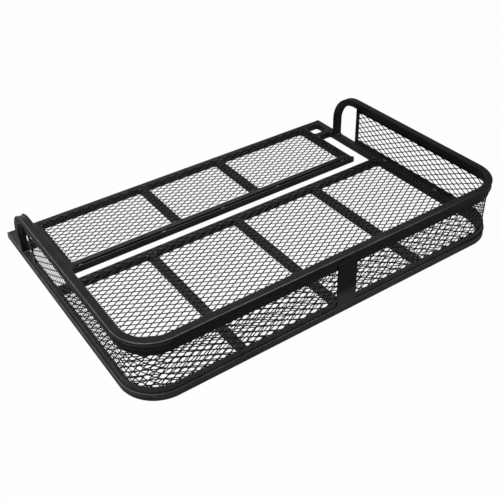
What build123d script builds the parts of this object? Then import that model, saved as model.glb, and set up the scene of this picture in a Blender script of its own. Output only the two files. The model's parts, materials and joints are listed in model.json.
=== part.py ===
from build123d import *
import math
import os

# Rigid cargo rack welded from bent square steel tube, flat bar and expanded metal.
# A walled basket fills the rear and a flat shelf the front.
# +X runs along the rack, +Y from the basket to the shelf and +Z up.
# The origin lies on the ground under the centre of the frame.

# Frame, measured over the outer faces of the tubes
FRAME_LENGTH = 1067.0
FRAME_DEPTH = 762.0
RAIL_HEIGHT = 165.0

# Square tube, bent on its centreline
TUBE = 20.0
TUBE_WALL = 1.5
TUBE_CORNER = 2.0
TUBE_BORE_CORNER = 1.0
BEND_RADIUS = 83.5

# Shelf, from the front face of the frame to the rear face of its edge bar
SHELF_DEPTH = 252.0
SHELF_SIDE_GAP = 48.5
SHELF_EDGE_TUBE = 16.0
SHELF_EDGE_SLIT = 6.0
SHELF_EDGE_OVERHANG = 7.0
SHELF_EDGE_HEIGHT = 18.0
SHELF_LEFT_BAR = -132.5
SHELF_RIGHT_BAR = 126.0
CORNER_HOLE = 49.0

# Basket and its cross bars
SLOT_WIDTH = 44.0
CROSS_BAR_PITCH = 265.0

# Hoops at the ends of the rail
HOOP_SETBACK = 97.5
HAND_GAP = 73.5

# Flat bar and plate
FLAT_THICKNESS = 3.0
STRIP_WIDTH = 16.0
STRAP_WIDTH = 12.7
PLATE_WIDTH = 56.0
PLATE_OFFSET = 10.5

# Expanded metal: pitches of the diamonds, width of a strand, sheet and plain border
MESH_LONG_PITCH = 30.5
MESH_SHORT_PITCH = 17.3
MESH_STRAND = 2.6
MESH_THICKNESS = 2.0
MESH_BORDER = 4.0
MESH_MOST_GAPS = 300
WALL_INSET = 4.0
WALL_MESH_LAP = 6.0
SHELF_MESH_LAP = 13.0
SHELF_REAR_LAP = 4.0
FLOOR_MESH_LAP = 9.5
FLOOR_FRONT_LAP = 19.0

# Weld beads
WELD_LEG = 3.0
STITCH_LENGTH = 8.0
STITCH_DEPTH = 6.0
STITCH_PITCH = 188.0
STITCH_END_INSET = 14.0
TACK_LENGTH = 12.0
TACK_PITCH = 206.0
TACK_END_GAP = 135.0

# Planes of the frame
half_length = FRAME_LENGTH / 2
half_depth = FRAME_DEPTH / 2
half_tube = TUBE / 2
inner_x = half_length - TUBE
inner_y = half_depth - TUBE
rail_underside = RAIL_HEIGHT - TUBE
outer_bend = BEND_RADIUS + half_tube
bend_x = half_length - outer_bend
bend_y = half_depth - outer_bend

# Planes of the shelf and of the slot behind it
shelf_rear = half_depth - SHELF_DEPTH
edge_flat_front = shelf_rear + FLAT_THICKNESS
edge_tube_rear = edge_flat_front + SHELF_EDGE_SLIT
edge_tube_front = edge_tube_rear + SHELF_EDGE_TUBE
edge_tube_y = edge_tube_rear + SHELF_EDGE_TUBE / 2
edge_tube_z = TUBE - SHELF_EDGE_TUBE / 2
edge_bead_foot = TUBE - SHELF_EDGE_TUBE + TUBE_CORNER
end_bar_outer = inner_x - SHELF_SIDE_GAP
end_bar_inner = end_bar_outer - TUBE
end_bar_x = end_bar_outer - half_tube
link_y = inner_y - CORNER_HOLE - half_tube
basket_tube_front = shelf_rear - SLOT_WIDTH
basket_tube_rear = basket_tube_front - TUBE
basket_tube_y = basket_tube_front - half_tube

# Planes of the wall and its hoops
post_front = half_depth - HOOP_SETBACK
post_y = post_front - half_tube
post_rear = post_front - TUBE
strap_front = post_rear - HAND_GAP
strap_rear = strap_front - STRAP_WIDTH
flat_axis_inset = WALL_INSET + FLAT_THICKNESS / 2
wall_mesh_inset = WALL_INSET + FLAT_THICKNESS
wall_mesh_foot = TUBE + STRIP_WIDTH - WALL_MESH_LAP
wall_mesh_top = rail_underside - STRIP_WIDTH + WALL_MESH_LAP
wall_mesh_height = wall_mesh_top - wall_mesh_foot
wall_mesh_middle = (wall_mesh_foot + wall_mesh_top) / 2
wall_mesh_end = strap_rear + WALL_MESH_LAP


def tube_profile(plane, size=TUBE):
    bore = size - 2 * TUBE_WALL
    ring = RectangleRounded(size, size, TUBE_CORNER) - RectangleRounded(bore, bore, TUBE_BORE_CORNER)
    return plane * ring


def straight_tube(start, end, size=TUBE):
    run = Vector(*end) - Vector(*start)
    plane = Plane(origin=start, x_dir=(0, 0, 1), z_dir=run.normalized())
    return extrude(tube_profile(plane, size), amount=run.length)


def tube_along_x(x_from, x_to, y):
    return straight_tube((x_from, y, half_tube), (x_to, y, half_tube))


def tube_along_y(x, y_from, y_to):
    return straight_tube((x, y_from, half_tube), (x, y_to, half_tube))


def block(x_from, x_to, y_from, y_to, z_from, z_to):
    middle = ((x_from + x_to) / 2, (y_from + y_to) / 2, (z_from + z_to) / 2)
    return Pos(*middle) * Box(x_to - x_from, y_to - y_from, z_to - z_from)


def upright_prism(points, z_from, z_to):
    outline = Polyline(*[(x, y, z_from) for x, y in points], close=True)
    return extrude(make_face(outline), amount=z_to - z_from, dir=(0, 0, 1))


def u_points(inset, y_end, z):
    x = half_length - inset
    y = half_depth - inset
    return [(-x, y_end, z), (-x, -y, z), (x, -y, z), (x, y_end, z)]


def mitre_wedge(side, spare_corner):
    inner_corner = (side * inner_x, inner_y)
    outer_corner = (side * half_length, half_depth)
    return upright_prism([inner_corner, outer_corner, spare_corner], 0, TUBE)


def base_frame_tube():
    points = u_points(half_tube, half_depth, half_tube)
    path = FilletPolyline(*points, radius=BEND_RADIUS)
    plane = Plane(origin=points[0], x_dir=(0, 0, 1), z_dir=(0, -1, 0))
    tube = sweep(tube_profile(plane), path=path)
    for side in (-1, 1):
        tube = tube - mitre_wedge(side, (side * inner_x, half_depth))
    return tube


def front_tube():
    tube = tube_along_x(-half_length, half_length, half_depth - half_tube)
    for side in (-1, 1):
        tube = tube - mitre_wedge(side, (side * half_length, inner_y))
    return tube


def top_rail():
    rail_z = RAIL_HEIGHT - half_tube
    points = u_points(half_tube, post_y, rail_z)
    left_foot = (points[0][0], post_y, TUBE)
    right_foot = (points[-1][0], post_y, TUBE)
    path = FilletPolyline(left_foot, *points, right_foot, radius=BEND_RADIUS)
    plane = Plane(origin=left_foot, x_dir=(1, 0, 0), z_dir=(0, 0, 1))
    return sweep(tube_profile(plane), path=path)


def shelf_end_bar(side):
    return tube_along_y(side * end_bar_x, edge_flat_front, inner_y)


def shelf_cross_bar(x):
    return tube_along_y(x, edge_tube_front, inner_y)


def shelf_rear_tube():
    start = (-end_bar_inner, edge_tube_y, edge_tube_z)
    end = (end_bar_inner, edge_tube_y, edge_tube_z)
    return straight_tube(start, end, SHELF_EDGE_TUBE)


def shelf_rear_flat():
    reach = end_bar_outer + SHELF_EDGE_OVERHANG
    return block(-reach, reach, shelf_rear, edge_flat_front, 0, SHELF_EDGE_HEIGHT)


def corner_link(side):
    ends = sorted((side * end_bar_outer, side * inner_x))
    return tube_along_x(ends[0], ends[1], link_y)


def basket_front_tube():
    return tube_along_x(-inner_x, inner_x, basket_tube_y)


def basket_cross_bar(step):
    return tube_along_y(step * CROSS_BAR_PITCH, -inner_y, basket_tube_rear)


def diamond(scale):
    long_half = scale * MESH_LONG_PITCH / 2
    short_half = scale * MESH_SHORT_PITCH / 2
    side = math.hypot(long_half, short_half)
    strand_half = scale * MESH_STRAND / 2
    return long_half - strand_half * side / short_half, short_half - strand_half * side / long_half


def net_scale(length, width):
    gaps = length * width / (MESH_LONG_PITCH * MESH_SHORT_PITCH / 2)
    return max(1.0, math.sqrt(gaps / MESH_MOST_GAPS))


def net_centres(length, width, scale):
    long_step = scale * MESH_LONG_PITCH / 2
    short_step = scale * MESH_SHORT_PITCH / 2
    columns = int(length / 2 / long_step)
    rows = int(width / 2 / short_step)
    places = [(i, j) for i in range(-columns, columns + 1) for j in range(-rows, rows + 1)]
    return [(i * long_step, j * short_step) for i, j in places if (i + j) % 2 == 0]


def inside_sheet(x, y, length, width, radius):
    past_x = abs(x) - (length / 2 - radius)
    past_y = -y - (width / 2 - radius)
    if past_x > 0 and past_y > 0:
        return math.hypot(past_x, past_y) < radius
    return abs(x) < length / 2 and abs(y) < width / 2


def diamond_points(x, y, half_size):
    long_half, short_half = half_size
    return [(x - long_half, y), (x, y - short_half), (x + long_half, y), (x, y + short_half)]


def flat_net(length, width, radius=0.0):
    scale = net_scale(length, width)
    sheet = Rectangle(length, width)
    if radius > 0:
        sheet = fillet(sheet.vertices().group_by(Axis.Y)[0], radius)
    clear = (length - 2 * MESH_BORDER, width - 2 * MESH_BORDER, max(radius - MESH_BORDER, 0.0))
    gaps = []
    for x, y in net_centres(length, width, scale):
        tips = diamond_points(x, y, diamond(scale))
        if all(inside_sheet(tip_x, tip_y, *clear) for tip_x, tip_y in tips):
            gaps.append(Wire.make_polygon([(tip_x, tip_y, 0) for tip_x, tip_y in tips], close=True))
    net = Face(sheet.face().outer_wire(), gaps)
    return extrude(net, amount=MESH_THICKNESS, dir=(0, 0, 1))


def shelf_mesh():
    reach = end_bar_inner + SHELF_MESH_LAP
    y_from = edge_tube_front - SHELF_REAR_LAP
    y_to = inner_y + SHELF_MESH_LAP
    return Pos(0, (y_from + y_to) / 2, TUBE) * flat_net(2 * reach, y_to - y_from)


def basket_floor_mesh():
    reach = inner_x + FLOOR_MESH_LAP
    y_from = -inner_y - FLOOR_MESH_LAP
    y_to = basket_tube_rear + FLOOR_FRONT_LAP
    radius = BEND_RADIUS - half_tube + FLOOR_MESH_LAP
    return Pos(0, (y_from + y_to) / 2, TUBE) * flat_net(2 * reach, y_to - y_from, radius)


def side_wall_mesh(side):
    x = side * (half_length - wall_mesh_inset)
    middle = (x, (wall_mesh_end - bend_y) / 2, wall_mesh_middle)
    plane = Plane(origin=middle, x_dir=(0, -side, 0), z_dir=(-side, 0, 0))
    return plane * flat_net(wall_mesh_end + bend_y, wall_mesh_height)


def rear_wall_mesh():
    middle = (0, wall_mesh_inset - half_depth, wall_mesh_middle)
    plane = Plane(origin=middle, x_dir=(-1, 0, 0), z_dir=(0, 1, 0))
    return plane * flat_net(2 * bend_x, wall_mesh_height)


def right_corner_mesh():
    outside = outer_bend - wall_mesh_inset
    inside = outside - MESH_THICKNESS
    half_height = wall_mesh_height / 2
    quarter = block(0, outside, -outside, 0, -half_height, half_height)
    shell = (Cylinder(outside, wall_mesh_height) - Cylinder(inside, wall_mesh_height)) & quarter
    arc = outside * math.pi / 2
    scale = net_scale(arc, wall_mesh_height)
    long_half, short_half = diamond(scale)
    cutters = []
    for along, up in net_centres(arc, wall_mesh_height, scale):
        fits_arc = abs(along) + long_half < arc / 2 - MESH_BORDER
        fits_height = abs(up) + short_half < half_height - MESH_BORDER
        if fits_arc and fits_height:
            turn = along / outside - math.pi / 4
            outward = (math.cos(turn), math.sin(turn), 0)
            start = (outward[0] * inside / 2, outward[1] * inside / 2, up)
            plane = Plane(origin=start, x_dir=(-outward[1], outward[0], 0), z_dir=outward)
            hole = Polyline(*diamond_points(0, 0, (long_half, short_half)), close=True)
            cutters.append(extrude(plane * make_face(hole), amount=outside))
    return Pos(bend_x, -bend_y, wall_mesh_middle) * (shell - cutters)


def wall_end_strap(side):
    outer_face = half_length - WALL_INSET
    inner_face = outer_face - FLAT_THICKNESS
    faces = sorted((side * inner_face, side * outer_face))
    return block(faces[0], faces[1], strap_rear, strap_front, TUBE, rail_underside)


def wall_strip(z_from):
    points = u_points(flat_axis_inset, strap_rear, z_from + STRIP_WIDTH / 2)
    path = FilletPolyline(*points, radius=outer_bend - flat_axis_inset)
    plane = Plane(origin=points[0], x_dir=(1, 0, 0), z_dir=(0, -1, 0))
    return sweep(plane * Rectangle(FLAT_THICKNESS, STRIP_WIDTH), path=path)


def rear_support_plate():
    inner_face = WALL_INSET - half_depth
    x_from = PLATE_OFFSET - PLATE_WIDTH / 2
    x_to = PLATE_OFFSET + PLATE_WIDTH / 2
    return block(x_from, x_to, inner_face - FLAT_THICKNESS, inner_face, TUBE, rail_underside)


def bead(x, y, along_x, along_y, foot=TUBE_CORNER):
    points = [(x, y), (x + along_x * WELD_LEG, y), (x, y + along_y * WELD_LEG)]
    return upright_prism(points, foot, TUBE - TUBE_CORNER)


def beads_on_y_bar(x, y, inward, foot=TUBE_CORNER):
    return [bead(x + side * half_tube, y, side, inward, foot) for side in (-1, 1)]


def beads_on_x_bar(x, y, inward):
    return [bead(x, y + side * half_tube, inward, side) for side in (-1, 1)]


def shelf_stitch_welds():
    end_stitch = end_bar_inner - STITCH_END_INSET
    places = [-end_stitch, -STITCH_PITCH, 0, STITCH_PITCH, end_stitch]
    half = STITCH_LENGTH / 2
    low = SHELF_EDGE_HEIGHT - STITCH_DEPTH
    high = SHELF_EDGE_HEIGHT
    return Compound([block(x - half, x + half, edge_flat_front, edge_tube_rear, low, high).solid() for x in places])


def shelf_bar_welds():
    welds = []
    for x in (SHELF_LEFT_BAR, SHELF_RIGHT_BAR):
        welds += beads_on_y_bar(x, edge_tube_front, 1, edge_bead_foot)
        welds += beads_on_y_bar(x, inner_y, -1)
    for side in (-1, 1):
        welds += beads_on_y_bar(side * end_bar_x, inner_y, -1)
        welds.append(bead(side * end_bar_inner, edge_tube_front, -side, 1, edge_bead_foot))
        welds.append(bead(side * end_bar_outer, edge_flat_front, side, 1))
    return Compound([weld.solid() for weld in welds])


def corner_welds():
    welds = []
    for side in (-1, 1):
        welds.append(bead(side * inner_x, inner_y, -side, -1))
        welds += beads_on_x_bar(side * inner_x, link_y, -side)
        welds += beads_on_x_bar(side * end_bar_outer, link_y, side)
    return Compound([weld.solid() for weld in welds])


def basket_bar_welds():
    welds = []
    for side in (-1, 1):
        welds += beads_on_x_bar(side * inner_x, basket_tube_y, -side)
    for step in (-1, 0, 1):
        welds += beads_on_y_bar(step * CROSS_BAR_PITCH, -inner_y, 1)
        welds += beads_on_y_bar(step * CROSS_BAR_PITCH, basket_tube_rear, -1)
    return Compound([weld.solid() for weld in welds])


def hoop_welds():
    welds = []
    bead_width = TUBE - 2 * TUBE_CORNER
    for side in (-1, 1):
        x = side * (half_length - half_tube)
        for y, away in ((post_front, 1), (post_rear, -1)):
            points = [(x - bead_width / 2, y, TUBE), (x - bead_width / 2, y + away * WELD_LEG, TUBE),
                      (x - bead_width / 2, y, TUBE + WELD_LEG)]
            outline = Polyline(*points, close=True)
            welds.append(extrude(make_face(outline), amount=bead_width, dir=(1, 0, 0)))
    return Compound([weld.solid() for weld in welds])


def wall_tack_welds():
    welds = []
    first = strap_front - TACK_END_GAP
    for side in (-1, 1):
        x = side * (half_length - wall_mesh_inset)
        for y in (first, first - TACK_PITCH):
            points = [(x, y, TUBE), (x - side * WELD_LEG, y, TUBE), (x, y, TUBE + WELD_LEG)]
            outline = Polyline(*points, close=True)
            welds.append(extrude(make_face(outline), amount=TACK_LENGTH, dir=(0, -1, 0)))
    return Compound([weld.solid() for weld in welds])


def rack():
    corner_mesh = right_corner_mesh()
    nodes = {
        "base_frame_tube": base_frame_tube(),
        "front_tube": front_tube(),
        "shelf_rear_tube": shelf_rear_tube(),
        "shelf_rear_flat": shelf_rear_flat(),
        "basket_front_tube": basket_front_tube(),
        "top_rail": top_rail(),
        "shelf_mesh": shelf_mesh(),
        "basket_floor_mesh": basket_floor_mesh(),
        "rear_wall_mesh": rear_wall_mesh(),
        "right_corner_mesh": corner_mesh,
        "left_corner_mesh": mirror(corner_mesh, about=Plane.YZ),
        "wall_lower_strip": wall_strip(TUBE),
        "wall_upper_strip": wall_strip(rail_underside - STRIP_WIDTH),
        "rear_support_plate": rear_support_plate(),
        "shelf_stitch_welds": shelf_stitch_welds(),
        "shelf_bar_welds": shelf_bar_welds(),
        "corner_welds": corner_welds(),
        "basket_bar_welds": basket_bar_welds(),
        "hoop_welds": hoop_welds(),
        "wall_tack_welds": wall_tack_welds(),
    }
    for name, step in (("left", -1), ("centre", 0), ("right", 1)):
        nodes["basket_" + name + "_cross_bar"] = basket_cross_bar(step)
    for name, x in (("left", SHELF_LEFT_BAR), ("right", SHELF_RIGHT_BAR)):
        nodes["shelf_" + name + "_cross_bar"] = shelf_cross_bar(x)
    for name, side in (("left", -1), ("right", 1)):
        nodes["shelf_" + name + "_end_bar"] = shelf_end_bar(side)
        nodes[name + "_corner_link"] = corner_link(side)
        nodes[name + "_wall_mesh"] = side_wall_mesh(side)
        nodes[name + "_wall_end_strap"] = wall_end_strap(side)
    return nodes


os.makedirs("parts", exist_ok=True)
for node, shape in rack().items():
    export_step(shape, "parts/" + node + ".step")
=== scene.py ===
import json
import math
from collections import namedtuple

import bpy
import numpy as np
from mathutils import Matrix, Vector


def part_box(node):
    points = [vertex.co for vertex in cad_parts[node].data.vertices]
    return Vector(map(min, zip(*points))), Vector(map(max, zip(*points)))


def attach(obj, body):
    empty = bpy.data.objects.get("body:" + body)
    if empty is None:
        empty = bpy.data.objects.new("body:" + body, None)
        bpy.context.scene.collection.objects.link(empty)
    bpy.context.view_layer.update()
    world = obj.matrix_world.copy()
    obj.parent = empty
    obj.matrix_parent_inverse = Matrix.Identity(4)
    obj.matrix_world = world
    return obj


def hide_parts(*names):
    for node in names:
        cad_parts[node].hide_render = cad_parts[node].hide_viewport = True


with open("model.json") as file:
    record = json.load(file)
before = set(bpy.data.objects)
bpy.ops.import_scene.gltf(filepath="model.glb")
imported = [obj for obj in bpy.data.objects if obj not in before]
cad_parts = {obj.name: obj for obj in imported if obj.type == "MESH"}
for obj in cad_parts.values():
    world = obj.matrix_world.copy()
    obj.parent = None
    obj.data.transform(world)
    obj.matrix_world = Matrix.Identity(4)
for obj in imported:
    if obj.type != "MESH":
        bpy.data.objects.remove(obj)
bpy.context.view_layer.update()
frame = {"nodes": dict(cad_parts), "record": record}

MM = 0.001
BODY = "root"
UP = (0, 0, 1)
AHEAD = (0, 1, 0)
LEFT = (-1, 0, 0)
RIGHT = (1, 0, 0)
BACK = (0, -1, 0)
WHITE = (1, 1, 1, 1)

# Frame sizes in millimetres, as in the solids
HALF_LENGTH = 533.5
HALF_DEPTH = 381.0
RAIL_HEIGHT = 165.0
TUBE = 20.0
TUBE_CORNER = 2.0
BEND_RADIUS = 83.5
POST_Y = 273.5
WALL_END_Y = 183.3
WALL_FOOT = 30.0
STRIP_INNER_INSET = 7.0
HALF_TUBE = TUBE / 2
OUTER_BEND = BEND_RADIUS + HALF_TUBE
BEND_X = HALF_LENGTH - OUTER_BEND
BEND_Y = HALF_DEPTH - OUTER_BEND
SIDE_AXIS = HALF_LENGTH - HALF_TUBE
RAIL_UNDERSIDE = RAIL_HEIGHT - TUBE

# Where the sheets of expanded metal end; the wall's upper edge lies behind the upper strip
WALL_TOP = 138.0
SHELF_LEFT = -449.5
SHELF_RIGHT = 458.0
SHELF_REAR = 150.0
SHELF_FRONT = 368.0
FLOOR_REAR = -370.5
FLOOR_FRONT = 80.5
FLOOR_SIDE_INSET = 14.5

# Expanded metal: pitches, where the lattice starts, strand section and its lean out of the sheet
# joint is the share of its half width by which a strand stands off the bond that it shares
Net = namedtuple("Net", "long_pitch short_pitch long_start short_start width thickness lean joint bond_half")
FLOOR_NET = Net(30.7, 16.8, -5.3, 0.0, 2.9, 1.8, -math.radians(20), 0.39, 1.3)
WALL_NET = Net(30.95, 16.47, -3.6, 1.4, 2.9, 1.1, math.radians(5), 0.43, 2.2)


def net_half(net):
    """Half the depth of a sheet, from its middle to the highest strand corner."""
    rise = net.width / 2 * abs(math.sin(net.lean))
    return rise * (1 + net.joint) + net.thickness / 2 * math.cos(net.lean)


# The wall mesh lies against the strips, and the floor and the shelf are sunk a little into their tubes
WELDED_SINK = 0.5
WALL_MESH_INSET = STRIP_INNER_INSET + net_half(WALL_NET)
WALL_MESH_RADIUS = OUTER_BEND - WALL_MESH_INSET
WALL_MESH_ARC = WALL_MESH_RADIUS * math.pi / 2
FLOOR_LEVEL = TUBE + net_half(FLOOR_NET) - WELDED_SINK

# Bends: how deep the outer and inner faces are drawn in, how the hollow swells along and across the bend,
# the low ridge left in it, the lighter lines that the bending die rubs, partly painted highlights, and the
# steps of the mesh
OUTER_DENT = 3.0
INNER_DENT = 3.4
SWELL_POWER = 0.6
HOLLOW_POWER = 4
RIDGE_PLACE = -0.25
RIDGE_WIDTH = 0.14
RIDGE_SHARE = 0.35
DIE_LINES = (0.3, -0.14)
DIE_WIDTH = 0.09
DIE_WEAR_AND_HIGHLIGHT = 1.2
ARC_STEPS = 22
FACE_PLACES = np.linspace(-1, 1, 25)[1:-1]
CORNER_TURNS = np.linspace(0, math.pi / 2, 5)
TUBE_SMOOTH = math.radians(40)
Station = namedtuple("Station", "place side other side_dents other_dents")

# Dust and painted light: heights in millimetres between which the lighter tone of the low pieces fades,
# partly dust and partly painted light from the floor; where along the rack the tops get darker, which is
# painted shade, and the share of tone left there;
# how far out a lighter outer face lies, partly splashes and partly painted light; and the slopes of side and
# top faces
DUST_AND_LIGHT_FULL = 45.0
DUST_AND_LIGHT_END = 75.0
RIGHT_SHADE_FROM = 100.0
RIGHT_SHADE_FULL = 530.0
RIGHT_SHADE_SHARE = 0.45
SPLASH_AND_LIGHT_FROM = 360.0
SPLASH_AND_LIGHT_FULL = 375.0
SIDE_SLOPE = 0.2
TOP_SLOPE = 0.9

# Rubbed edges, also painted highlights along them: tone, range of the patches along them, and least weight of
# the lesser corners
EDGE_WEAR_AND_HIGHLIGHT_TONE = 0.14
EDGE_PATCHES = (0.5, 1.0)
STRAIGHT_WEAR_AND_HIGHLIGHT = 0.2

# Tones of the coats by height and by side or top face, partly dust and partly painted light and shade; the
# dark strand sides of the mesh are painted shade.
# The tubes under the mesh have a coat of their own, its darker tops painted shade of the mesh
Tones = namedtuple("Tones", "high_side high_top low_side low_top splashed")
TUBE_TONES = Tones(0.006, 0.012, 0.011, 0.024, 0.045)
COVERED_SHADE_TONES = TUBE_TONES._replace(low_side=0.022, low_top=0.017)
FLAT_TONES = Tones(0.006, 0.012, 0.015, 0.034, 0.045)
MESH_TONES = Tones(0.010, 0.016, 0.004, 0.031, 0.029)
# Lighter tone of the weld beads, a painted highlight on their ripples
WELD_HIGHLIGHT_TONES = Tones(0.03, 0.08, 0.03, 0.13, 0.05)
COVERED_NODES = ("front_tube", "shelf_left_end_bar", "shelf_right_end_bar", "shelf_left_cross_bar",
                 "shelf_right_cross_bar", "basket_left_cross_bar", "basket_centre_cross_bar",
                 "basket_right_cross_bar")
BLUE_SHARE = 1.03

# Finish of the coats: roughness, orange peel, and the clear layer, clouds and grain that all of them share
Finish = namedtuple("Finish", "roughness peel")
TUBE_FINISH = Finish(0.42, 0.12)
SHEET_FINISH = Finish(0.45, 0.1)
WELD_FINISH = Finish(0.38, 0.15)
CLEAR_WEIGHT = 0.12
CLEAR_ROUGHNESS = 0.16
CLEAR_IOR = 1.5
CLOUD_SCALE = 28.0
CLOUD_DETAIL = 3.0
CLOUD_RANGE = (0.3, 0.7)
CLOUD_TONES = (0.85, 1.2)
CLOUD_ROUGHNESS = (-0.05, 0.06)
GRAIN_SCALE = 900.0
GRAIN_DETAIL = 2.0
GRAIN_DEPTH = 0.0004

# Weld beads: overlapping lumps, held back from the ends of each weld; two more run across the rear plate
BEAD_RADIUS = 2.6
BEAD_STEP = 2.3
BEAD_END_INSET = 1.0
BEAD_RINGS = 7
BEAD_SECTORS = 10
BEAD_SMOOTH = math.radians(80)
SAME_POINT_DIGITS = 5
PLATE_BEAD_RADIUS = 2.4
PLATE_BEAD_DEPTH = 1.4
PLATE_BEAD_GAP = 0.4

# Camera
CAMERA_PLACE = (-0.9055, -1.3785, 1.1931)
CAMERA_RIGHT = (0.82448, -0.56523, -0.02871)
CAMERA_UP = (0.35915, 0.48332, 0.79840)
CAMERA_AHEAD = (0.43746, 0.66848, -0.60150)
CAMERA_LENS = 54.69
CAMERA_CLIP = 100.0
SENSOR_WIDTH = 36.0

# Studio
STUDIO_SIZE = 30.0
STUDIO_DROP = 0.0005
STUDIO_GREY = (0.35, 0.35, 0.35, 1)
STUDIO_SHOWN = 0.98
WORLD_STRENGTH = 0.1
WORLD_SHOWN = 1.0
Lamp = namedtuple("Lamp", "name place target size power")
LAMPS = (
    Lamp("key", (1.2, -2.0, 2.6), (0, 0, 0.1), 0.4, 22.0),
    Lamp("top", (-0.8, 0.3, 2.7), (0, 0, 0), 2.4, 130.0),
)


def new_object(name, vertices, faces, material, smooth_angle=None):
    mesh = bpy.data.meshes.new(name)
    mesh.from_pydata([tuple(v) for v in np.asarray(vertices) * MM], [], faces)
    mesh.update()
    if smooth_angle is not None:
        mesh.polygons.foreach_set("use_smooth", [True] * len(mesh.polygons))
        mesh.set_sharp_from_angle(angle=smooth_angle)
    piece = bpy.data.objects.new(name, mesh)
    bpy.context.scene.collection.objects.link(piece)
    mesh.materials.append(material)
    return piece


def stand_for(piece, slot, *nodes):
    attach(piece, BODY)
    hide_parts(*nodes)


def link(tree, source, output, target, socket):
    tree.links.new(source.outputs[output], target.inputs[socket])


def set_inputs(node, values):
    for socket, value in values.items():
        node.inputs[socket].default_value = value


def noise(tree, coordinates, scale, detail):
    node = tree.nodes.new("ShaderNodeTexNoise")
    set_inputs(node, {"Scale": scale, "Detail": detail})
    link(tree, coordinates, "Object", node, "Vector")
    return node


def ramp(tree, cloud, low, high):
    """Values from low to high over the usual range of the clouds."""
    node = tree.nodes.new("ShaderNodeMapRange")
    set_inputs(node, {"From Min": CLOUD_RANGE[0], "From Max": CLOUD_RANGE[1], "To Min": low, "To Max": high})
    link(tree, cloud, "Fac", node, "Value")
    return node


def calculate(tree, operation, first, second):
    """Math node of two inputs, each a number or a node with the name of its output."""
    node = tree.nodes.new("ShaderNodeMath")
    node.operation = operation
    for socket, value in enumerate((first, second)):
        if isinstance(value, tuple):
            link(tree, *value, node, socket)
        else:
            node.inputs[socket].default_value = value
    return node


def blend(tree, first, second, source, output="Result"):
    """Colour mix of two sockets or colours by the source's output."""
    node = tree.nodes.new("ShaderNodeMix")
    node.data_type = "RGBA"
    for socket, value in (("A", first), ("B", second)):
        if isinstance(value, tuple):
            node.inputs[socket].default_value = (*value, 1.0)
        else:
            tree.links.new(value, node.inputs[socket])
    link(tree, source, output, node, "Factor")
    return node.outputs["Result"]


def smooth_step(tree, source, output, low, high):
    share = tree.nodes.new("ShaderNodeMapRange")
    share.interpolation_type = "SMOOTHSTEP"
    set_inputs(share, {"From Min": low, "From Max": high})
    link(tree, source, output, share, "Value")
    return share


def step_along(tree, coordinates, output, axis, low, high):
    """Smooth step of one axis of a texture coordinate from 0 at low to 1 at high."""
    split = tree.nodes.new("ShaderNodeSeparateXYZ")
    link(tree, coordinates, output, split, "Vector")
    return smooth_step(tree, split, axis, low, high)


def outer_faces(tree, coordinates):
    """Smooth step of the distance of a face's plane from the middle of the rack, 1 on its outer faces."""
    distance = tree.nodes.new("ShaderNodeVectorMath")
    distance.operation = "DOT_PRODUCT"
    link(tree, coordinates, "Object", distance, 0)
    link(tree, coordinates, "Normal", distance, 1)
    return smooth_step(tree, distance, "Value", SPLASH_AND_LIGHT_FROM * MM, SPLASH_AND_LIGHT_FULL * MM)


def worn_and_highlit_edges(tree, cloud, right_shade):
    """Weight of the lighter edges of a bent tube, rubbed wear and painted highlight, patchy along their
    length and none at the right end, where the painted shade is full.
    """
    wear_and_highlight = tree.nodes.new("ShaderNodeAttribute")
    wear_and_highlight.attribute_name = "wear_and_highlight"
    patches = ramp(tree, cloud, *EDGE_PATCHES)
    patchy = calculate(tree, "MULTIPLY", (wear_and_highlight, "Fac"), (patches, "Result"))
    rest = calculate(tree, "SUBTRACT", 1.0, (right_shade, "Result"))
    return calculate(tree, "MULTIPLY", (patchy, "Value"), (rest, "Value"))


def grey(value):
    return (value, value, value * BLUE_SHARE)


def dust_and_light_tone(tree, coordinates, right_shade, tones):
    """Tops lighter than sides and low pieces lighter than high ones, partly settled dust and partly painted
    light and shade; outer faces near the ground lighter, partly splashes and partly painted light.
    """
    height = step_along(tree, coordinates, "Object", "Z", DUST_AND_LIGHT_FULL * MM, DUST_AND_LIGHT_END * MM)
    faces_up = step_along(tree, coordinates, "Normal", "Z", SIDE_SLOPE, TOP_SLOPE)
    # Inner low faces darker, which is painted shade; outer low faces lighter, partly splashes and partly
    # painted light
    low_side = blend(tree, grey(tones.low_side), grey(tones.splashed), outer_faces(tree, coordinates))
    side = blend(tree, low_side, grey(tones.high_side), height)
    dusty_and_lit_top = blend(tree, grey(tones.low_top), grey(tones.high_top), height)
    # Painted shade: tops darker towards the right end of the rack
    shaded_low = grey(tones.low_top * RIGHT_SHADE_SHARE)
    shaded_high = grey(tones.high_top * RIGHT_SHADE_SHARE)
    shaded_top = blend(tree, shaded_low, shaded_high, height)
    top = blend(tree, dusty_and_lit_top, shaded_top, right_shade)
    return blend(tree, side, top, faces_up)


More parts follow.
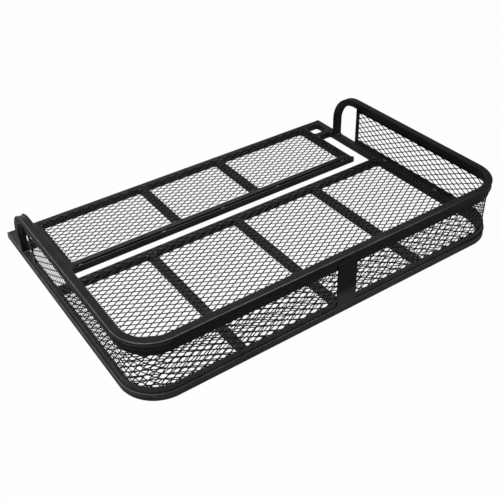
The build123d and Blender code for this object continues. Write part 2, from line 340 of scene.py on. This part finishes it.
def powder_coat(name, tones, finish):
    """Black coat with dust and painted light and shade, clouds, rubbed edges with painted highlights, and a
    fine grain.
    """
    material = bpy.data.materials.new(name)
    material.use_nodes = True
    tree = material.node_tree
    shader = tree.nodes["Principled BSDF"]
    set_inputs(shader, {
        "Metallic": 0.0,
        "Specular IOR Level": 0.0,
        "Coat Weight": CLEAR_WEIGHT,
        "Coat Roughness": CLEAR_ROUGHNESS,
        "Coat IOR": CLEAR_IOR,
    })
    coordinates = tree.nodes.new("ShaderNodeTexCoord")
    cloud = noise(tree, coordinates, CLOUD_SCALE, CLOUD_DETAIL)
    # Painted shade towards the right end: darker tops, and no lighter edge lines there
    right_shade = step_along(tree, coordinates, "Object", "X", RIGHT_SHADE_FROM * MM, RIGHT_SHADE_FULL * MM)
    cloudy = tree.nodes.new("ShaderNodeHueSaturation")
    link(tree, ramp(tree, cloud, *CLOUD_TONES), "Result", cloudy, "Value")
    tree.links.new(dust_and_light_tone(tree, coordinates, right_shade, tones), cloudy.inputs["Color"])
    edges = worn_and_highlit_edges(tree, cloud, right_shade)
    # Lighter edge and die lines: rubbed wear and painted highlight
    colour = blend(tree, cloudy.outputs["Color"], grey(EDGE_WEAR_AND_HIGHLIGHT_TONE), edges, "Value")
    tree.links.new(colour, shader.inputs["Base Color"])
    roughness = [finish.roughness + change for change in CLOUD_ROUGHNESS]
    link(tree, ramp(tree, cloud, *roughness), "Result", shader, "Roughness")
    bump = tree.nodes.new("ShaderNodeBump")
    set_inputs(bump, {"Strength": finish.peel, "Distance": GRAIN_DEPTH})
    link(tree, noise(tree, coordinates, GRAIN_SCALE, GRAIN_DETAIL), "Fac", bump, "Height")
    link(tree, bump, "Normal", shader, "Normal")
    return material


def groove(q):
    """Share of the full draw across a face from -1 to 1: a flat-bottomed hollow with one low ridge in it."""
    ridge = RIDGE_SHARE * math.exp(-(((q - RIDGE_PLACE) / RIDGE_WIDTH) ** 2))
    return (1 - q ** HOLLOW_POWER) * (1 - ridge)


def die_marks_and_highlights(q):
    """Weight of the lighter lines on a drawn-in face: rubbed lines that the bending die leaves, partly
    painted highlights.
    """
    return DIE_WEAR_AND_HIGHLIGHT * sum(math.exp(-(((q - line) / DIE_WIDTH) ** 2)) for line in DIE_LINES)


def face_dents(station):
    """Draw of the four faces in the order of the section ring."""
    plus_side, minus_side = station.side_dents
    plus_other, minus_other = station.other_dents
    return (plus_side, plus_other, minus_side, minus_other)


def section_wear_and_highlight(station):
    """Weight of the lighter lines at every point of a section ring, rubbed wear and painted highlight: full
    on the outer top corner, on the others mostly in bends.
    """
    dents = face_dents(station)
    least = max(STRAIGHT_WEAR_AND_HIGHLIGHT, max(dents) / INNER_DENT)
    weights = []
    for face, dent in enumerate(dents):
        corner_weight = 1.0 if face == 0 else least
        weights += [die_marks_and_highlights(q) * dent / OUTER_DENT for q in FACE_PLACES]
        weights += [corner_weight * math.sin(2 * a) for a in CORNER_TURNS]
    return weights


def section_ring(station):
    """Rounded square as (side, other) pairs, its faces drawn in by the station's dents."""
    flat = HALF_TUBE - TUBE_CORNER
    corner = [(flat + TUBE_CORNER * math.cos(a), flat + TUBE_CORNER * math.sin(a)) for a in CORNER_TURNS]
    ring = []
    for quarter, dent in enumerate(face_dents(station)):
        cos = math.cos(quarter * math.pi / 2)
        sin = math.sin(quarter * math.pi / 2)
        face = [(HALF_TUBE - dent * groove(q), flat * q) for q in FACE_PLACES]
        ring += [(out * cos - along * sin, out * sin + along * cos) for out, along in face + corner]
    return ring


def swell(share):
    """Growth of the draw along a bend, none at its ends."""
    return math.sin(math.pi * share) ** SWELL_POWER


def arc_stations(centre, start, end, fixed, bends_side):
    """Stations round a quarter bend, whose outer side turns from start to end; fixed is the other axis."""
    stations = []
    for step in range(ARC_STEPS + 1):
        share = step / ARC_STEPS
        turn = share * math.pi / 2
        outer = Vector(start) * math.cos(turn) + Vector(end) * math.sin(turn)
        place = Vector(centre) + outer * BEND_RADIUS
        draw = (OUTER_DENT * swell(share), INNER_DENT * swell(share))
        if bends_side:
            stations.append(Station(place, outer, Vector(fixed), draw, (0, 0)))
        else:
            stations.append(Station(place, Vector(fixed), outer, (0, 0), draw))
    return stations


def straight_station(place, side, other):
    return Station(Vector(place), Vector(side), Vector(other), (0, 0), (0, 0))


def tube_mesh(stations):
    vertices = []
    for station in stations:
        for out, along in section_ring(station):
            vertices.append(station.place + station.side * out + station.other * along)
    count = len(vertices) // len(stations)
    faces = []
    for row in range(len(stations) - 1):
        for k in range(count):
            low = row * count + k
            low_next = row * count + (k + 1) % count
            faces.append((low, low_next, low_next + count, low + count))
    faces.append(tuple(reversed(range(count))))
    faces.append(tuple(range(len(vertices) - count, len(vertices))))
    return vertices, faces


def tube_piece(name, stations, vertices, faces, material, node):
    piece = new_object(name, vertices, faces, material, TUBE_SMOOTH)
    # Weights of the lighter edges and die lines, rubbed wear and painted highlight, stored on the points
    weights = []
    for station in stations:
        weights += section_wear_and_highlight(station)
    wear_and_highlight = piece.data.attributes.new("wear_and_highlight", "FLOAT", "POINT")
    wear_and_highlight.data.foreach_set("value", weights)
    stand_for(piece, "tube", node)


def u_bend_stations(z):
    stations = arc_stations((-BEND_X, -BEND_Y, z), LEFT, BACK, UP, True)
    stations += arc_stations((BEND_X, -BEND_Y, z), BACK, RIGHT, UP, True)
    return stations


def base_tube(material):
    """U of the base, mitred at both ends."""
    end = HALF_DEPTH - HALF_TUBE
    stations = [straight_station((-SIDE_AXIS, end, HALF_TUBE), LEFT, UP)]
    stations += u_bend_stations(HALF_TUBE)
    stations.append(straight_station((SIDE_AXIS, end, HALF_TUBE), RIGHT, UP))
    vertices, faces = tube_mesh(stations)
    count = len(vertices) // len(stations)
    for vertex in vertices[:count] + vertices[-count:]:
        vertex.y = HALF_DEPTH - (HALF_LENGTH - abs(vertex.x))
    tube_piece("base_tube", stations, vertices, faces, material, "base_frame_tube")


def rail_tube(material):
    """U of the rail, bent down at both ends into the hoops."""
    z = RAIL_HEIGHT - HALF_TUBE
    bend_z = z - BEND_RADIUS
    bend_y = POST_Y - BEND_RADIUS
    stations = [straight_station((-SIDE_AXIS, POST_Y, TUBE), LEFT, AHEAD)]
    stations += arc_stations((-SIDE_AXIS, bend_y, bend_z), AHEAD, UP, LEFT, False)
    stations += u_bend_stations(z)
    stations += arc_stations((SIDE_AXIS, bend_y, bend_z), UP, AHEAD, RIGHT, False)
    stations.append(straight_station((SIDE_AXIS, POST_Y, TUBE), RIGHT, AHEAD))
    tube_piece("rail_tube", stations, *tube_mesh(stations), material, "top_rail")


def ribbon_path(net, row, u_from, u_to):
    """Zigzag of one strand row as arrays (u, v offset, side), cut off at both ends."""
    half_pitch = net.long_pitch / 2
    first = int(math.floor((u_from - net.long_start) / half_pitch)) - 1
    last = int(math.ceil((u_to - net.long_start) / half_pitch)) + 1
    u, v, side = [], [], []
    for bond in range(first, last + 1):
        sign = 1 if (bond + row) % 2 == 0 else -1
        for edge in (-net.bond_half, net.bond_half):
            u.append(net.long_start + bond * half_pitch + edge)
            v.append(sign * net.short_pitch / 4)
            side.append(sign)
    cut = [u_from] + [x for x in u if u_from < x < u_to] + [u_to]
    return np.array(cut), np.interp(cut, u, v), np.interp(cut, u, side)


def expanded_sheet(name, net, rows, place, material):
    """rows holds (row number, v, u_from, u_to); place turns arrays (u, v, h) into points."""
    across = np.array((math.cos(net.lean), math.sin(net.lean))) * net.width / 2
    through = np.array((-math.sin(net.lean), math.cos(net.lean))) * net.thickness / 2
    corners = [across + through, through - across, -across - through, across - through]
    vertices, faces = [], []
    for row, middle, u_from, u_to in rows:
        u, v, side = ribbon_path(net, row, u_from, u_to)
        base = len(vertices)
        v_axis = middle + v - side * across[0] * net.joint
        h_axis = -side * across[1] * net.joint
        ring = [place(u, v_axis + dv, h_axis + dh) for dv, dh in corners]
        vertices.extend(np.stack(ring, axis=1).reshape(-1, 3))
        for k in range(len(u) - 1):
            for c in range(4):
                a = base + 4 * k + c
                b = base + 4 * k + (c + 1) % 4
                faces.append((a, b, b + 4, a + 4))
        last = base + 4 * (len(u) - 1)
        faces.append((base + 3, base + 2, base + 1, base))
        faces.append((last, last + 1, last + 2, last + 3))
    return new_object(name, vertices, faces, material)


def row_numbers(net, v_from, v_to):
    """Number and middle of each strand row that fits between v_from and v_to."""
    margin = net.short_pitch / 4
    step = net.short_pitch / 2
    first = int(math.ceil((v_from + margin - net.short_start) / step))
    last = int(math.floor((v_to - margin - net.short_start) / step))
    return [(row, net.short_start + row * step) for row in range(first, last + 1)]


def floor_place(u, v, h):
    return np.stack((u, v, FLOOR_LEVEL + h), axis=1)


def shelf_sheet(material):
    numbers = row_numbers(FLOOR_NET, SHELF_REAR, SHELF_FRONT)
    rows = [(row, v, SHELF_LEFT, SHELF_RIGHT) for row, v in numbers]
    piece = expanded_sheet("shelf_sheet", FLOOR_NET, rows, floor_place, material)
    stand_for(piece, "mesh", "shelf_mesh")


def floor_reach(v):
    """Half length of the floor at v, less in the rounded rear corners."""
    past = -BEND_Y - v
    inner = OUTER_BEND - FLOOR_SIDE_INSET
    if past <= 0:
        return BEND_X + inner
    return BEND_X + math.sqrt(max(inner * inner - past * past, 0.0))


def floor_sheet(material):
    numbers = row_numbers(FLOOR_NET, FLOOR_REAR, FLOOR_FRONT)
    rows = [(row, v, -floor_reach(v), floor_reach(v)) for row, v in numbers]
    piece = expanded_sheet("floor_sheet", FLOOR_NET, rows, floor_place, material)
    stand_for(piece, "mesh", "basket_floor_mesh")


def wall_place(u, v, h):
    """u runs along the wall from the middle of the rear, v up from the ground, h outward."""
    side = np.where(u < 0, -1.0, 1.0)
    run = np.abs(u)
    turn = np.clip((run - BEND_X) / WALL_MESH_RADIUS, 0, math.pi / 2)
    past = np.clip(run - BEND_X - WALL_MESH_ARC, 0, None)
    x = np.minimum(run, BEND_X) + (WALL_MESH_RADIUS + h) * np.sin(turn)
    y = -BEND_Y - (WALL_MESH_RADIUS + h) * np.cos(turn) + past
    return np.stack((side * x, y, v), axis=1)


def wall_sheets(material):
    arc_end = BEND_X + WALL_MESH_ARC
    side_end = arc_end + BEND_Y + WALL_END_Y
    stretches = (
        ("left_wall", -side_end, -arc_end),
        ("left_corner", -arc_end, -BEND_X),
        ("rear_wall", -BEND_X, BEND_X),
        ("right_corner", BEND_X, arc_end),
        ("right_wall", arc_end, side_end),
    )
    numbers = row_numbers(WALL_NET, WALL_FOOT, WALL_TOP)
    for name, u_from, u_to in stretches:
        rows = [(row, v, u_from, u_to) for row, v in numbers]
        piece = expanded_sheet(name + "_sheet", WALL_NET, rows, wall_place, material)
        stand_for(piece, "mesh", name + "_mesh")


def lump(centre, radius):
    """Ball of rings and sectors with a point at the top and the bottom."""
    vertices, faces = [], []
    for ring in range(1, BEAD_RINGS):
        polar = math.pi * ring / BEAD_RINGS
        for sector in range(BEAD_SECTORS):
            around = 2 * math.pi * sector / BEAD_SECTORS
            x = math.sin(polar) * math.cos(around)
            y = math.sin(polar) * math.sin(around)
            vertices.append(Vector(centre) + Vector((x, y, math.cos(polar))) * radius)
    top = len(vertices)
    vertices.append(Vector(centre) + Vector((0, 0, radius)))
    vertices.append(Vector(centre) - Vector((0, 0, radius)))
    for ring in range(BEAD_RINGS - 2):
        for sector in range(BEAD_SECTORS):
            a = ring * BEAD_SECTORS + sector
            b = ring * BEAD_SECTORS + (sector + 1) % BEAD_SECTORS
            faces.append((a, a + BEAD_SECTORS, b + BEAD_SECTORS, b))
    last = (BEAD_RINGS - 2) * BEAD_SECTORS
    for sector in range(BEAD_SECTORS):
        following = (sector + 1) % BEAD_SECTORS
        faces.append((top, sector, following))
        faces.append((top + 1, last + following, last + sector))
    return vertices, faces


def bead_lines(name, lines, radius, material, *nodes):
    """Each line is a run of overlapping lumps, the ripple of a hand-laid weld."""
    vertices, faces = [], []
    for start, end in lines:
        run = Vector(end) - Vector(start)
        count = max(1, int(run.length / BEAD_STEP))
        for k in range(count + 1):
            lump_vertices, lump_faces = lump(Vector(start) + run * (k / count), radius)
            base = len(vertices)
            vertices.extend(lump_vertices)
            faces.extend(tuple(base + index for index in face) for face in lump_faces)
    piece = new_object(name, vertices, faces, material, BEAD_SMOOTH)
    if nodes:
        stand_for(piece, "weld", *nodes)
    else:
        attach(piece, BODY)


def weld_boxes(node):
    """Lowest and highest corner of each separate bead of a weld node, in millimetres."""
    mesh = frame["nodes"][node].data
    parent = list(range(len(mesh.vertices)))

    def root(index):
        while parent[index] != index:
            parent[index] = parent[parent[index]]
            index = parent[index]
        return index

    seen = {}
    for vertex in mesh.vertices:
        key = tuple(round(value, SAME_POINT_DIGITS) for value in vertex.co)
        parent[root(vertex.index)] = root(seen.setdefault(key, vertex.index))
    for edge in mesh.edges:
        parent[root(edge.vertices[0])] = root(edge.vertices[1])
    groups = {}
    for vertex in mesh.vertices:
        groups.setdefault(root(vertex.index), []).append(vertex.co / MM)
    return [(np.min(group, axis=0), np.max(group, axis=0)) for group in groups.values()]


def upright_beads(node, material):
    lines = []
    for low, high in weld_boxes(node):
        x, y, _ = (low + high) / 2
        foot = max(low[2], BEAD_RADIUS)
        lines.append(((x, y, foot), (x, y, high[2] - BEAD_END_INSET)))
    bead_lines(node + "_beads", lines, BEAD_RADIUS, material, node)


def level_beads(node, material):
    lines = []
    for low, high in weld_boxes(node):
        start = (low + high) / 2
        end = start.copy()
        along = 0 if high[0] - low[0] > high[1] - low[1] else 1
        start[along] = low[along] + BEAD_END_INSET
        end[along] = high[along] - BEAD_END_INSET
        lines.append((tuple(start), tuple(end)))
    bead_lines(node + "_beads", lines, BEAD_RADIUS, material, node)


def plate_beads(material):
    low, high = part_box("rear_support_plate")
    left = low.x / MM
    right = high.x / MM
    face = low.y / MM + PLATE_BEAD_DEPTH
    levels = (TUBE + PLATE_BEAD_GAP, RAIL_UNDERSIDE - PLATE_BEAD_GAP)
    lines = [((left, face, z), (right, face, z)) for z in levels]
    bead_lines("plate_beads", lines, PLATE_BEAD_RADIUS, material)


def welds(material):
    for node in ("shelf_bar_welds", "corner_welds", "basket_bar_welds"):
        upright_beads(node, material)
    for node in ("hoop_welds", "shelf_stitch_welds", "wall_tack_welds"):
        level_beads(node, material)
    plate_beads(material)


def coat_nodes(tube, covered, flat):
    """Coats the nodes that still show."""
    slots = {part["node"]: part["material_slot"] for part in frame["record"]["subparts"]}
    for name, node in frame["nodes"].items():
        if node.hide_render:
            continue
        material = flat if slots[name] == "flat_bar" else tube
        if name in COVERED_NODES:
            material = covered
        node.data.materials.clear()
        node.data.materials.append(material)


def seen_mix(tree, plain, shown, share):
    """Mixes towards shown for camera, glossy and transmission rays."""
    path = tree.nodes.new("ShaderNodeLightPath")
    direct = calculate(tree, "MAXIMUM", (path, "Is Camera Ray"), (path, "Is Glossy Ray"))
    seen = calculate(tree, "MAXIMUM", (direct, "Value"), (path, "Is Transmission Ray"))
    scaled = calculate(tree, "MULTIPLY", (seen, "Value"), share)
    mix = tree.nodes.new("ShaderNodeMixShader")
    link(tree, scaled, "Value", mix, 0)
    link(tree, plain, 0, mix, 1)
    link(tree, shown, 0, mix, 2)
    return mix


def floor_plane():
    bpy.ops.mesh.primitive_plane_add(size=STUDIO_SIZE, location=(0, 0, -STUDIO_DROP))
    floor = bpy.context.object
    floor.name = "floor"
    material = bpy.data.materials.new("floor_white")
    material.use_nodes = True
    tree = material.node_tree
    tree.nodes.clear()
    plain = tree.nodes.new("ShaderNodeBsdfDiffuse")
    set_inputs(plain, {"Color": STUDIO_GREY})
    shown = tree.nodes.new("ShaderNodeEmission")
    set_inputs(shown, {"Color": WHITE})
    output = tree.nodes.new("ShaderNodeOutputMaterial")
    link(tree, seen_mix(tree, plain, shown, STUDIO_SHOWN), 0, output, "Surface")
    floor.data.materials.append(material)


def world_light():
    world = bpy.data.worlds.new("studio")
    world.use_nodes = True
    tree = world.node_tree
    tree.nodes.clear()
    plain = tree.nodes.new("ShaderNodeBackground")
    set_inputs(plain, {"Color": WHITE, "Strength": WORLD_STRENGTH})
    shown = tree.nodes.new("ShaderNodeBackground")
    set_inputs(shown, {"Color": WHITE})
    output = tree.nodes.new("ShaderNodeOutputWorld")
    link(tree, seen_mix(tree, plain, shown, WORLD_SHOWN), 0, output, "Surface")
    bpy.context.scene.world = world


def soft_lamp(name, place, target, size, power):
    data = bpy.data.lights.new(name, "AREA")
    data.shape = "DISK"
    data.size = size
    data.energy = power
    lamp = bpy.data.objects.new(name, data)
    lamp.location = place
    lamp.rotation_euler = (Vector(target) - Vector(place)).to_track_quat("-Z", "Y").to_euler()
    bpy.context.scene.collection.objects.link(lamp)


def camera():
    data = bpy.data.cameras.new("camera")
    data.lens = CAMERA_LENS
    data.sensor_width = SENSOR_WIDTH
    data.clip_end = CAMERA_CLIP
    viewer = bpy.data.objects.new("camera", data)
    back = -Vector(CAMERA_AHEAD)
    turn = Matrix((CAMERA_RIGHT, CAMERA_UP, back)).transposed()
    viewer.matrix_world = Matrix.Translation(CAMERA_PLACE) @ turn.to_4x4()
    bpy.context.scene.collection.objects.link(viewer)
    bpy.context.scene.camera = viewer


def dress():
    tube = powder_coat("tube_coat", TUBE_TONES, TUBE_FINISH)
    covered = powder_coat("covered_shade_coat", COVERED_SHADE_TONES, TUBE_FINISH)
    mesh = powder_coat("mesh_coat", MESH_TONES, SHEET_FINISH)
    flat = powder_coat("flat_coat", FLAT_TONES, SHEET_FINISH)
    weld = powder_coat("weld_highlight_coat", WELD_HIGHLIGHT_TONES, WELD_FINISH)
    base_tube(tube)
    rail_tube(tube)
    shelf_sheet(mesh)
    floor_sheet(mesh)
    wall_sheets(mesh)
    welds(weld)
    coat_nodes(tube, covered, flat)


dress()
floor_plane()
world_light()
for lamp in LAMPS:
    soft_lamp(*lamp)
camera()
bpy.context.scene.view_settings.view_transform = "Standard"
